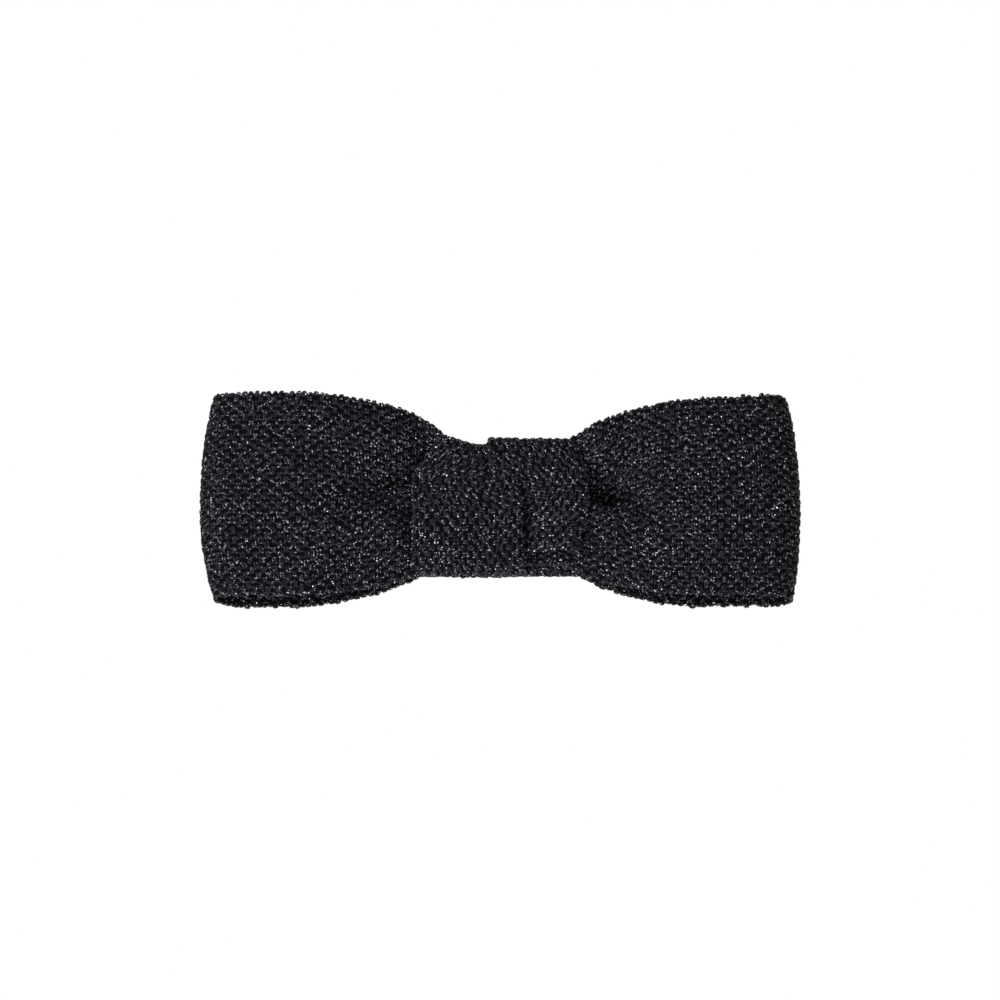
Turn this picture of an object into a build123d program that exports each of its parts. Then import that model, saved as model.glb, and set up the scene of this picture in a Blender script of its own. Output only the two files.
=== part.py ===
from build123d import *
import os
from math import asin, atan2, cos, degrees, hypot, radians, sin, sqrt, tan

# A knitted hair bow sewn on a sprung hair clip.
# X runs along the bow, Z is up as it is worn, the front looks towards -Y and the head is at +Y.
# The origin is in the middle of the jaws' gap, where the clip grips the hair.

# Bow, in millimetres
BOW_LENGTH = 110.0
BAND_WIDTH = 38.0
KNIT_THICKNESS = 1.3
LOOP_DEPTH = 12.0
WAIST_DEPTH = 5.4
WAIST_HEIGHT = 21.2
WAIST_DROP = 2.0  # how far the gathered waist's middle hangs below the band's middle
LAYER_GAP = 0.3  # between the band's front and back layers at the waist

# Knot, the wide band wrapped round the waist
KNOT_WIDTH = 32.8
KNOT_TOP_WIDTH = 24.0  # along its top edge, where it is pulled in most
KNOT_BOTTOM_WIDTH = 31.0
KNOT_THICKNESS = 1.6
WRAP_CLEARANCE = 0.25  # between the knot's inside and what it wraps

# Sewing
THREAD = 0.5
THREAD_BEND = 0.6  # radius of the thread's middle line where it turns a corner
GATHER_TURNS = 4
SEAM_STITCHES = 7
SEAM_OFFSET = 6.0  # from the middle to where the band's two ends meet
STITCH_LENGTH = 2.6
KNOT_STITCHES = 6
FELT_LENGTH = 26.0
FELT_HEIGHT = 12.0
FELT_THICKNESS = 1.0
FELT_CORNER = 2.5
LASHING_PLACES = (-8.0, 3.0)
LASHING_TURNS = 3

# Clip
CLIP_LENGTH = 48.0
CLIP_WIDTH = 8.0
STEEL = 0.8
RIBBON = 0.4
RIBBON_WIDTH = 10.0
GRIP_SETBACK = 1.1  # from the origin to the ribbon on the upper arm
LEVER_LENGTH = 13.0  # from the hinge pin to the end of the levers
LEVER_ANGLE = 21.0
PIN_RADIUS = 1.0
PIN_HEAD = 0.5
PIN_CLEARANCE = 0.05
EAR_WALL = 0.65
EAR_BASE = 3.6
SIDE_CLEARANCE = 0.1
WIRE = 0.8
COIL_CLEARANCE = 0.1
COIL_TURNS = 3
SPRING_LEG = 10.0
TOOTH_HEIGHT = 0.5
TOOTH_PITCH = 1.6
TEETH = 6
TOOTH_CLEARANCE = 0.1

# Places along Y, from the hair forwards
arm_inner = -(GRIP_SETBACK + RIBBON)
arm_outer = arm_inner - STEEL
felt_back = arm_outer - RIBBON
knot_back = felt_back - FELT_THICKNESS
knot_inner_depth = WAIST_DEPTH + 2 * (THREAD + WRAP_CLEARANCE)
knot_depth = knot_inner_depth + 2 * KNOT_THICKNESS
mid_y = knot_back - knot_depth / 2
waist_z = -WAIST_DROP

# Places along X
half_length = BOW_LENGTH / 2
half_knot = KNOT_WIDTH / 2
knot_inner_corner = THREAD_BEND + THREAD / 2 + WRAP_CLEARANCE
knot_outer_corner = knot_inner_corner + KNOT_THICKNESS
loop_start = half_knot + WRAP_CLEARANCE
knot_inner_height = WAIST_HEIGHT + 2 * (THREAD + WRAP_CLEARANCE)
knot_height = knot_inner_height + 2 * KNOT_THICKNESS
nose_x = -CLIP_LENGTH / 2
lever_x = CLIP_LENGTH / 2
pin_x = lever_x - LEVER_LENGTH
coil_radius = PIN_RADIUS + COIL_CLEARANCE + WIRE / 2
pin_y = arm_inner + coil_radius + WIRE / 2
half_clip = CLIP_WIDTH / 2
ear_inner_z = half_clip - STEEL
lower_half_width = ear_inner_z - SIDE_CLEARANCE
coil_half_room = lower_half_width - STEEL - SIDE_CLEARANCE


front_plane = Plane(origin=(0, mid_y, 0), x_dir=(1, 0, 0), z_dir=(0, -1, 0))
waist_front_plane = Plane(origin=(0, mid_y, waist_z), x_dir=(1, 0, 0), z_dir=(0, -1, 0))


def save(node, shape):
    export_step(shape, os.path.join("parts", node + ".step"))


def waist_plane(x):
    """Section across the bow at x, with Y across the page and Z up it."""
    return Plane(origin=(x, mid_y, waist_z), x_dir=(0, 1, 0), z_dir=(1, 0, 0))


def mirrored_outline(quarter):
    """Closed face from one quarter of a shape that is the same on both sides of X and Y."""
    half = quarter + mirror(quarter, Plane.XZ)
    return make_face(half + mirror(half, Plane.YZ))


def loop_profile(length, depth, waist):
    """Half-length, half-depth and half-waist of the two loops, seen from above."""
    straight = Line((0, waist), (loop_start, waist))
    swell_x = loop_start + 0.5 * (length - depth - loop_start)
    swell = Spline((loop_start, waist), (swell_x, depth), tangents=((1, 0), (1, 0)))
    level = Line((swell_x, depth), (length - depth, depth))
    fold = RadiusArc((length - depth, depth), (length, 0), depth)
    return mirrored_outline(straight + swell + level + fold)


def knot_side():
    """The bowed right-hand edge of the knot, seen from the front."""
    return ThreePointArc((KNOT_BOTTOM_WIDTH / 2, -knot_height / 2), (half_knot, 0),
                         (KNOT_TOP_WIDTH / 2, knot_height / 2))


def waist_run(height):
    """How far the narrow waist reaches, so that the band stays inside the knot at that height."""
    side = knot_side()
    centre = side.arc_center
    return centre.X + sqrt(side.radius**2 - (height - centre.Y) ** 2) + WRAP_CLEARANCE


def band_silhouette():
    """The band's height along the bow, seen from the front."""
    half_band = BAND_WIDTH / 2

    def edge(side):
        run = waist_run(side * knot_inner_height / 2)
        waist, band = waist_z + side * WAIST_HEIGHT / 2, side * half_band
        full_x = run + 0.65 * (half_length - run)
        rise = (band - waist) / (full_x - run)
        flare = Spline((run, waist), (full_x, band), tangents=((1, 2.4 * rise), (1, 0)))
        return Line((0, waist), (run, waist)) + flare + Line((full_x, band), (half_length, band))

    right = edge(1) + Line((half_length, half_band), (half_length, -half_band)) + edge(-1)
    return make_face(right + mirror(right, Plane.YZ))


def waist_loop(x, gap):
    """Thread laid once round the waist, its middle line gap outside it."""
    path = RectangleRounded(WAIST_DEPTH + 2 * gap, WAIST_HEIGHT + 2 * gap, THREAD_BEND).wire()
    path = waist_plane(x) * path
    start = path @ 0
    return sweep(Plane(origin=start, z_dir=path % 0) * Circle(THREAD / 2), path=path)


def stitch(start, end):
    """A short straight stitch with round ends."""
    line = Line(start, end)
    rod = extrude(Plane(origin=start, z_dir=line % 0) * Circle(THREAD / 2), line.length)
    return rod + Pos(start) * Sphere(THREAD / 2) + Pos(end) * Sphere(THREAD / 2)


def gather_thread():
    first = -(GATHER_TURNS - 1) / 2
    return [waist_loop((first + turn) * THREAD * 2, THREAD / 2) for turn in range(GATHER_TURNS)]


def bow_band(threads):
    reach = max(BAND_WIDTH, LOOP_DEPTH)
    outer = loop_profile(half_length, LOOP_DEPTH / 2, WAIST_DEPTH / 2)
    inner = loop_profile(half_length - KNIT_THICKNESS, LOOP_DEPTH / 2 - KNIT_THICKNESS, LAYER_GAP / 2)
    ring = Pos(0, mid_y, 0) * extrude(outer - inner, reach, both=True)
    front_view = front_plane * extrude(band_silhouette(), reach, both=True)
    band = ring & front_view
    for thread in threads:
        band -= thread
    return band


def knot_band():
    outer = RectangleRounded(knot_depth, knot_height, knot_outer_corner)
    inner = RectangleRounded(knot_inner_depth, knot_inner_height, knot_inner_corner)
    wrap = waist_plane(0) * extrude(outer - inner, half_knot, both=True)
    high, top, bottom = knot_height / 2, KNOT_TOP_WIDTH / 2, KNOT_BOTTOM_WIDTH / 2
    outline = make_face(knot_side() + mirror(knot_side(), Plane.YZ) + Line((top, high), (-top, high))
                        + Line((bottom, -high), (-bottom, -high)))
    front_view = waist_front_plane * extrude(outline, knot_depth, both=True)
    return wrap & front_view


def band_end_seam():
    """Whip stitches where the band's two ends meet behind the waist, under the knot."""
    y = mid_y + WAIST_DEPTH / 2 + THREAD / 2
    step = WAIST_HEIGHT / (SEAM_STITCHES + 1)
    heights = [waist_z + (n - (SEAM_STITCHES - 1) / 2) * step for n in range(SEAM_STITCHES)]
    half = STITCH_LENGTH / 2
    return [stitch((SEAM_OFFSET - half, y, z), (SEAM_OFFSET + half, y, z)) for z in heights]


def knot_closing_stitches():
    """Stitches across the knot's closing seam, behind and below the clip."""
    y = knot_back + THREAD / 2
    low_flat = waist_z - knot_height / 2 + knot_outer_corner
    seam_z = (low_flat - FELT_HEIGHT / 2) / 2
    half = min(STITCH_LENGTH, (-FELT_HEIGHT / 2 - low_flat) * 0.8) / 2
    step = KNOT_TOP_WIDTH / (KNOT_STITCHES + 1)
    places = [(n - (KNOT_STITCHES - 1) / 2) * step for n in range(KNOT_STITCHES)]
    return [stitch((x, y, seam_z - half), (x, y, seam_z + half)) for x in places]


def backing_felt():
    face = Plane(origin=(0, felt_back, 0), x_dir=(1, 0, 0), z_dir=(0, -1, 0))
    return face * extrude(RectangleRounded(FELT_LENGTH, FELT_HEIGHT, FELT_CORNER), FELT_THICKNESS)


def clip_stitches():
    """Thread lashed over the upper arm into the felt."""
    side, top = max(RIBBON_WIDTH, CLIP_WIDTH) / 2 + THREAD / 2, -GRIP_SETBACK + THREAD / 2
    lashings = []
    for place in LASHING_PLACES:
        for turn in range(LASHING_TURNS):
            x = place + turn * THREAD * 1.6
            path = FilletPolyline((x, felt_back, side), (x, top, side), (x, top, -side),
                                  (x, felt_back, -side), radius=THREAD_BEND)
            section = Plane(origin=(x, felt_back, side), z_dir=(0, 1, 0)) * Circle(THREAD / 2)
            lashings.append(sweep(section, path=path))
    return lashings


def ribbon_end():
    """Where the ribbon stops, just short of the hinge ears."""
    return pin_x - EAR_BASE - 4 * RIBBON


def clip_ribbon(lashings):
    """Ribbon glued along the outside of the upper arm, round its nose and back along the inside."""
    outside = Polygon((nose_x - RIBBON, felt_back), (lever_x, felt_back), (lever_x, arm_outer),
                      (nose_x, arm_outer), (nose_x, arm_inner), (ribbon_end(), arm_inner),
                      (ribbon_end(), -GRIP_SETBACK), (nose_x - RIBBON, -GRIP_SETBACK), align=None)
    ribbon = extrude(outside, RIBBON_WIDTH / 2, both=True)
    for lashing in lashings:
        ribbon -= lashing
    return ribbon


def ear(base_y, radius, thickness, inner_z, hole):
    """Two hinge ears, one each side, from a plate's face at base_y to a round end on the pin's axis."""
    web = Polygon((pin_x - radius, pin_y), (pin_x + radius, pin_y), (pin_x + EAR_BASE, base_y),
                  (pin_x - EAR_BASE, base_y), align=None)
    outline = web + Pos(pin_x, pin_y) * Circle(radius) - Pos(pin_x, pin_y) * Circle(hole)
    one = Pos(0, 0, inner_z) * extrude(outline, thickness, dir=(0, 0, 1))
    return one + mirror(one, Plane.XY)


def clip_upper_arm():
    plate = Pos((nose_x + lever_x) / 2, (arm_inner + arm_outer) / 2, 0) * Box(CLIP_LENGTH, STEEL, CLIP_WIDTH)
    plate = fillet(plate.edges().filter_by(Axis.Y), half_clip * 0.45)
    return plate + ear(arm_inner, PIN_RADIUS + 2 * EAR_WALL, STEEL, ear_inner_z, PIN_RADIUS)


def lower_arm_line():
    """Inner face of the lower arm: nose, bend over the coil and end of the lever."""
    reach = coil_radius + WIRE / 2 + 2 * COIL_CLEARANCE
    nose_y = -GRIP_SETBACK + TOOTH_CLEARANCE + TOOTH_HEIGHT
    run_x, run_y = pin_x - nose_x, pin_y - nose_y
    jaw_angle = degrees(atan2(run_y, run_x) + asin(reach / hypot(run_x, run_y)))
    middle, spread = radians((jaw_angle + LEVER_ANGLE) / 2), radians((LEVER_ANGLE - jaw_angle) / 2)
    out = reach / cos(spread)
    bend = (pin_x - out * sin(middle), pin_y + out * cos(middle))
    end = (lever_x, bend[1] + (lever_x - bend[0]) * tan(radians(LEVER_ANGLE)))
    return (nose_x, nose_y), bend, end, jaw_angle


def clip_lower_arm():
    nose, bend, end, jaw_angle = lower_arm_line()
    back = [(x, y + STEEL) for x, y in (end, bend, nose)]
    plate = extrude(Polygon(nose, bend, end, *back, align=None), lower_half_width, both=True)
    tooth = Polygon((0, 0), (TOOTH_PITCH / 2, 0), (TOOTH_PITCH / 4, -TOOTH_HEIGHT), align=None)
    for n in range(TEETH):
        x = nose[0] + TOOTH_PITCH * (n + 0.25)
        y = nose[1] + (x - nose[0]) * tan(radians(jaw_angle))
        tilted = Location((x, y, 0), (0, 0, jaw_angle)) * tooth
        plate += extrude(tilted, lower_half_width, both=True)
    ears = ear(bend[1] + STEEL / 2, PIN_RADIUS + PIN_CLEARANCE + EAR_WALL, STEEL,
               lower_half_width - STEEL, PIN_RADIUS + PIN_CLEARANCE)
    arm = plate + ears
    return arm - Pos(pin_x, pin_y, 0) * Cylinder(PIN_RADIUS + PIN_CLEARANCE, CLIP_WIDTH)


def hinge_pin():
    pin = Pos(pin_x, pin_y, 0) * Cylinder(PIN_RADIUS, CLIP_WIDTH)
    head = Pos(pin_x, pin_y, half_clip + PIN_HEAD / 2) * Cylinder(PIN_RADIUS * 1.5, PIN_HEAD)
    return pin + head + mirror(head, Plane.XY)


def torsion_spring():
    """Coil on the pin, with one leg along each lever."""
    turns = COIL_TURNS + (180 - LEVER_ANGLE) / 360
    height = 2 * coil_half_room - WIRE
    helix = Helix(height / turns, height, coil_radius, lefthand=True)
    helix = Location((pin_x, pin_y, -height / 2), (0, 0, -90)) * helix
    start, leave = helix @ 0, helix @ 1
    spring = sweep(Plane(origin=start, z_dir=helix % 0) * Circle(WIRE / 2), path=helix, is_frenet=True)
    lever = radians(LEVER_ANGLE)
    for at, way in ((start, Vector(1, 0, 0)), (leave, Vector(cos(lever), sin(lever), 0))):
        spring += extrude(Plane(origin=at, z_dir=way) * Circle(WIRE / 2), SPRING_LEG)
        spring += Pos(at) * Sphere(WIRE / 2)
    return spring


os.makedirs("parts", exist_ok=True)
threads = gather_thread()
save("gather_thread", Compound(threads))
save("bow_band", bow_band(threads))
save("knot_band", knot_band())
save("band_end_seam", Compound(band_end_seam()))
save("knot_closing_stitches", Compound(knot_closing_stitches()))
save("backing_felt", backing_felt())
lashings = clip_stitches()
save("clip_stitches", Compound(lashings))
save("clip_ribbon", clip_ribbon(lashings))
save("clip_upper_arm", clip_upper_arm())
save("hinge_pin", hinge_pin())
save("torsion_spring", torsion_spring())
save("clip_lower_arm", clip_lower_arm())
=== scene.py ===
import math

import bpy
import numpy as np
from bpy.props import FloatProperty, IntProperty, PointerProperty, StringProperty
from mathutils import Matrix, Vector


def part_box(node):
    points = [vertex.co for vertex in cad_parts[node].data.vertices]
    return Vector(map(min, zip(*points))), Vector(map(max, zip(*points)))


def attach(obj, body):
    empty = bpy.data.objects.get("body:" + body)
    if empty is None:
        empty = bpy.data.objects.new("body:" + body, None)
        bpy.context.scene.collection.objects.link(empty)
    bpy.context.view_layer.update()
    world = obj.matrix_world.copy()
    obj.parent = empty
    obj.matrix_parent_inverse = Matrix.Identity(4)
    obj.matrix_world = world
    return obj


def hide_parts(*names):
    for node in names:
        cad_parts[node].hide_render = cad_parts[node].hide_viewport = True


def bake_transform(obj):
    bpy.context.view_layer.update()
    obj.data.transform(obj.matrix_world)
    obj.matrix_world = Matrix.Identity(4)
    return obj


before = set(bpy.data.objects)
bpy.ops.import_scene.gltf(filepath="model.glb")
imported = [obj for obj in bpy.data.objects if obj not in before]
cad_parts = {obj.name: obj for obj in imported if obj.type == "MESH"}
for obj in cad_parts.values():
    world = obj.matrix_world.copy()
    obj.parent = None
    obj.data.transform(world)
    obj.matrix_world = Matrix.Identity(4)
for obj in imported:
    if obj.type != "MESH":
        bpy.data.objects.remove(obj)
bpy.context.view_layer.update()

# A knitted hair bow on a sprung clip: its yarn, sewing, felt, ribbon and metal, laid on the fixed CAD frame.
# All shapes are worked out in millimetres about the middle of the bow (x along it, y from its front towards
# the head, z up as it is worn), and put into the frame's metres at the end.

bl_info = {
    "name": "Knitted Hair Bow",
    "version": (1, 0, 0),
    "blender": (4, 5, 0),
    "location": "View3D > Sidebar > Hair Bow",
    "description": "Builds a moss-stitch hair bow with its sewing and spring clip around the CAD frame",
    "category": "Add Mesh",
}

MM = 0.001
band_low, band_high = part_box("bow_band")
knot_low, knot_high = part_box("knot_band")
MID_Y = (band_low.y + band_high.y) / 2 / MM
HALF_LENGTH = (band_high.x - band_low.x) / 2 / MM
HALF_WIDTH = (band_high.z - band_low.z) / 2 / MM
HALF_DEPTH = (band_high.y - band_low.y) / 2 / MM
KNOT_HALF_DEPTH = (knot_high.y - knot_low.y) / 2 / MM
KNOT_TOP, KNOT_BOTTOM = knot_high.z / MM, knot_low.z / MM


# ---------------------------------------------------------------- settings

class KnitSettings(bpy.types.PropertyGroup):
    """The yarn and the stitch."""

    stitch_width: FloatProperty(name="Stitch width", default=1.22 * MM, unit="LENGTH", precision=5,
                                description="Distance from one stitch to the next along a course")
    course_height: FloatProperty(name="Course height", default=0.90 * MM, unit="LENGTH", precision=5,
                                 description="Distance from one course to the next")
    yarn_diameter: FloatProperty(name="Yarn diameter", default=0.56 * MM, unit="LENGTH", precision=5,
                                 description="Thickness of the yarn in the knit")
    relief: FloatProperty(name="Relief", default=0.25 * MM, unit="LENGTH", precision=5,
                          description="How far purl bumps stand out of the middle of the cloth")
    unevenness: FloatProperty(name="Unevenness", default=0.075 * MM, unit="LENGTH", precision=5,
                              description="How far the yarn wanders from its place, at random")
    core: FloatProperty(name="Core thickness", default=0.36 * MM, unit="LENGTH", precision=5,
                        description="Thickness of the felted yarn between the two faces of the cloth")
    yarn_colour: StringProperty(name="Yarn colour", default="#0f0d13",
                                description="Colour of the spun yarn, as sRGB hex")
    filament_colour: StringProperty(name="Filament colour", default="#d8d4e0",
                                    description="Colour of the metallic filament, as sRGB hex")
    filament_share: FloatProperty(name="Filament share", default=0.26, min=0.0, max=1.0, subtype="FACTOR",
                                  description="Share of the yarn's surface that shows its filament")


class SewingSettings(bpy.types.PropertyGroup):
    """Thread, felt and ribbon."""

    thread_diameter: FloatProperty(name="Thread diameter", default=0.5 * MM, unit="LENGTH", precision=5,
                                   description="Thickness of the sewing thread")
    gather_turns: IntProperty(name="Gathering turns", default=4, min=1,
                              description="Turns of thread round the waist")
    seam_stitches: IntProperty(name="Seam stitches", default=7, min=1,
                               description="Whip stitches that join the band's ends")
    knot_stitches: IntProperty(name="Knot stitches", default=6, min=1,
                               description="Stitches that close the knot behind")
    lashing_turns: IntProperty(name="Lashing turns", default=3, min=1,
                               description="Turns of thread in each lashing of the clip")
    rib_pitch: FloatProperty(name="Rib pitch", default=0.62 * MM, unit="LENGTH", precision=5,
                             description="Distance from one rib of the grosgrain ribbon to the next")
    thread_colour: StringProperty(name="Thread colour", default="#151417",
                                  description="Colour of the sewing thread, as sRGB hex")
    felt_colour: StringProperty(name="Felt colour", default="#1b1a1d",
                                description="Colour of the felt patch, as sRGB hex")
    ribbon_colour: StringProperty(name="Ribbon colour", default="#161518",
                                  description="Colour of the ribbon, as sRGB hex")


class MetalSettings(bpy.types.PropertyGroup):
    """The clip's metals."""

    plate_colour: StringProperty(name="Plate colour", default="#c3c0ba",
                                 description="Colour of the nickel plating, as sRGB hex")
    pin_colour: StringProperty(name="Pin colour", default="#a9a8a6",
                               description="Colour of the peened pin, as sRGB hex")
    wire_colour: StringProperty(name="Wire colour", default="#8f8d8b",
                                description="Colour of the spring wire, as sRGB hex")


class StudioSettings(bpy.types.PropertyGroup):
    """Camera, lights and floor."""

    azimuth: FloatProperty(name="Azimuth", default=0.0, subtype="ANGLE",
                           description="The camera's angle round the bow, from its front")
    elevation: FloatProperty(name="Elevation", default=math.radians(-12.0), subtype="ANGLE",
                             description="The camera's angle above the bow's middle")
    field_width: FloatProperty(name="Field width", default=0.1827, unit="LENGTH",
                               description="Width of the view at the bow")
    floor_drop: FloatProperty(name="Floor drop", default=0.75, unit="LENGTH",
                              description="How far the floor is below the bow")
    key_power: FloatProperty(name="Key power", default=5.4, unit="POWER",
                             description="Power of the large soft light above the front")
    wash_power: FloatProperty(name="Floor wash", default=260.0, unit="POWER",
                              description="Power of the light under the bow that shines down on the floor")
    surround: FloatProperty(name="Surround", default=0.3, min=0.0,
                            description="Brightness of the light that comes from all round")
    backdrop: FloatProperty(name="Backdrop", default=1.0, min=0.0,
                            description="Brightness of the white paper behind everything")


# ---------------------------------------------------------------- small helpers

def linear(colour):
    """sRGB hex to linear red, green, blue and alpha."""
    parts = [int(colour[i:i + 2], 16) / 255 for i in (1, 3, 5)]
    return [c / 12.92 if c <= 0.04045 else ((c + 0.055) / 1.055) ** 2.4 for c in parts] + [1.0]


def smooth(start, end, value):
    """0 before start, 1 after end, turning gently between them."""
    share = np.clip((value - start) / (end - start), 0.0, 1.0)
    return share * share * (3 - 2 * share)


def mixed(start, end, share):
    """From start to end, in proportion to share."""
    return start + (end - start) * share


def bell(value, centre, width):
    """1 at the centre, fading to nothing on both sides."""
    return np.exp(-((value - centre) / width) ** 2)


def lips(q):
    """The two sides of a crease: down to -1 at q = -1, up to 1 at q = 1, and fading beyond them."""
    return q * np.exp((1 - q * q) / 2)


def stepped(q):
    """0 well before a fold and 1 well past it."""
    return 0.5 + 0.5 * np.tanh(2.2 * q)


def squared(wave, power):
    """A sine or cosine pushed towards 1 and -1, which squares up a round outline."""
    return np.sign(wave) * np.abs(wave) ** power


def new_material(name):
    """A material with nothing in it but its object coordinates, and their socket."""
    material = bpy.data.materials.new(name)
    material.use_nodes = True
    material.node_tree.nodes.clear()
    return material, node(material, "TexCoord").outputs["Object"]


def node(owner, kind, inputs=None, **settings):
    """Adds one shader node to a material or world: settings are its own values, and inputs are values or the
    sockets that feed it."""
    made = owner.node_tree.nodes.new("ShaderNode" + kind)
    for name, value in settings.items():
        setattr(made, name, value)
    for name, value in (inputs or {}).items():
        if isinstance(value, bpy.types.NodeSocket):
            owner.node_tree.links.new(value, made.inputs[name])
        else:
            made.inputs[name].default_value = value
    return made


def shade(ramp, colour, dark, light):
    """Sets a ramp's two ends to a darker and a lighter shade of one colour."""
    for stop, share in zip(ramp.color_ramp.elements, (dark, light)):
        stop.color = [min(part * share, 1.0) for part in linear(colour)[:3]] + [1.0]


def per_mm(size):
    """Texture scale that gives cells of that many millimetres in object coordinates."""
    return 1.0 / (size * MM)


def new_mesh(name, points, faces, material):
    """A smooth-shaded mesh object from points in millimetres about the middle of the bow."""
    points = np.asarray(points, float).reshape(-1, 3) + (0.0, MID_Y, 0.0)
    mesh = bpy.data.meshes.new(name)
    faces = np.asarray(faces, np.int32)
    corners = faces.shape[1]
    mesh.vertices.add(len(points))
    mesh.vertices.foreach_set("co", (points * MM).astype(np.float32).ravel())
    mesh.loops.add(faces.size)
    mesh.loops.foreach_set("vertex_index", faces.ravel())
    mesh.polygons.add(len(faces))
    mesh.polygons.foreach_set("loop_start", np.arange(0, faces.size, corners, dtype=np.int32))
    mesh.polygons.foreach_set("use_smooth", np.full(len(faces), True))
    mesh.update(calc_edges=True)
    mesh.validate()
    mesh.materials.append(material)
    made = bpy.data.objects.new(name, mesh)
    bpy.context.scene.collection.objects.link(made)
    return made


def unit(vectors):
    """The same vectors at length one."""
    return vectors / np.maximum(np.linalg.norm(vectors, axis=-1, keepdims=True), 1e-12)


def tube_rings(centre, normal, tangent, radius, sides):
    """Rings of points round centre lines; centre is (..., 3) and the result (..., sides, 3)."""
    tangent = unit(tangent)
    across = unit(normal - (normal * tangent).sum(-1, keepdims=True) * tangent)
    along = np.cross(tangent, across)
    turn = np.arange(sides) * 2 * math.pi / sides
    ring = across[..., None, :] * np.cos(turn)[:, None] + along[..., None, :] * np.sin(turn)[:, None]
    return centre[..., None, :] + radius * ring


TURNED_OVER = [0, 3, 2, 1]  # the order of its corners that makes a quad face the other way


def grid_faces(rows, ring, closed=False):
    """Quads between rows of points, each row a closed ring; closed joins the last row to the first."""
    row, spot = np.meshgrid(np.arange(rows if closed else rows - 1), np.arange(ring), indexing="ij")
    ahead, beside = (row + 1) % rows, (spot + 1) % ring
    quads = [row * ring + spot, ahead * ring + spot, ahead * ring + beside, row * ring + beside]
    return np.stack(quads, -1).reshape(-1, 4)


def tube_faces(tubes, count, sides):
    """Quads of that many open tubes, each of count rings."""
    one = grid_faces(count, sides)[:, TURNED_OVER]
    return (np.arange(tubes)[:, None, None] * count * sides + one).reshape(-1, 4)


ASKEW = np.array([0.31, 0.87, 0.38])  # a direction that no thread runs along
PLIES = 3
PLY_SIDES = 6
TWIST = 1.5  # length of thread in which its plies turn once
TWIST_STEPS = 8  # points along that length
PLY_PACKING = 1.15  # how much thicker a ply is than round ones side by side, as they press together


def heading(points, closed):
    """The way a polyline runs at each of its points."""
    if closed:
        return np.roll(points, -1, 0) - np.roll(points, 1, 0)
    return np.gradient(points, axis=0)


def ply_tube(points, radius, closed):
    """Points and quads of one ply along a polyline."""
    side = np.broadcast_to(ASKEW, points.shape)
    rings = tube_rings(points, side, heading(points, closed), radius, PLY_SIDES)
    if closed:
        rings = np.concatenate([rings, rings[:1]], 0)
    return rings.reshape(-1, 3), tube_faces(1, len(rings), PLY_SIDES)


def joined(parts):
    """One list of points and faces from several."""
    points, faces, count = [], [], 0
    for part_points, part_faces in parts:
        points.append(part_points)
        faces.append(part_faces + count)
        count += len(part_points)
    return np.concatenate(points), np.concatenate(faces)


def resampled(points, step):
    """The same polyline with points every step along it."""
    points = np.asarray(points, float)
    length = np.concatenate([[0], np.cumsum(np.linalg.norm(np.diff(points, axis=0), axis=1))])
    count = max(int(length[-1] / step), 2) + 1
    at = np.linspace(0, length[-1], count)
    return np.stack([np.interp(at, length, points[:, k]) for k in range(3)], -1)


def plied_thread(path, diameter, closed=False):
    """Sewing thread along a path, as plies twisted round each other."""
    path = resampled(path, TWIST / TWIST_STEPS)
    if closed:
        path = path[:-1]
    tangent = unit(heading(path, closed))
    across = unit(np.cross(tangent, ASKEW))
    along = np.cross(tangent, across)
    steps = len(path)
    turns = steps / TWIST_STEPS
    if closed:
        turns = max(round(turns), 1)
    spin = np.arange(steps) / steps * turns * 2 * math.pi
    ply_radius = diameter / 2 / (1 + 1 / math.sin(math.pi / PLIES)) * PLY_PACKING
    offset = diameter / 2 - ply_radius
    tubes = []
    for ply in range(PLIES):
        turn = spin + ply * 2 * math.pi / PLIES
        centre = path + offset * (across * np.cos(turn)[:, None] + along * np.sin(turn)[:, None])
        tubes.append(ply_tube(centre, ply_radius, closed))
    return joined(tubes)


# ---------------------------------------------------------------- materials

MIX_SHARE, MIX_FIRST, MIX_SECOND, MIX_RESULT = 0, 6, 7, 2  # the Mix node's sockets when it mixes colours


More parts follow.
